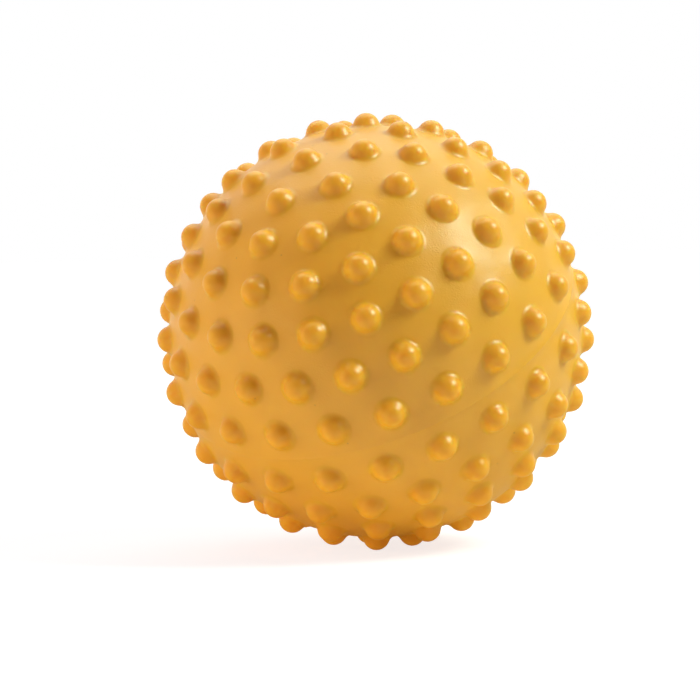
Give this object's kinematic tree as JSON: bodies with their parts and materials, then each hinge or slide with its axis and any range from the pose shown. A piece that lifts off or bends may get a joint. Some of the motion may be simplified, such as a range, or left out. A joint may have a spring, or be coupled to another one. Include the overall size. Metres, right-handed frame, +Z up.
{
  "type": "sensory ball",
  "caption": "Hollow soft plastic ball covered with rings of round nubs, with an air valve in its wall and a pull-out plug, for gripping, rolling and throwing.",
  "frame": {"origin": "centre of the ball", "axes": "+Z up as the ball lies on three of its nubs, -Y towards the viewer of the picture, +X to the right; the mould's axis leans from +Z and the valve points down and back at the lower pole"},
  "size_m": [0.199, 0.1986, 0.1984],
  "materials": {
    "ball_skin": "satin",
    "valve": "matte",
    "plug": "satin"
  },
  "bodies": {
    "ball": {"ball_shell": "ball_skin", "valve_bush": "valve"},
    "plug": {"plug": "plug"}
  },
  "joints": [
    {"name": "plug_pull", "type": "slide", "parent": "ball", "child": "plug", "axis": [0.3136, 0.465, -0.8279], "range_m": [0, 0.014]}
  ]
}
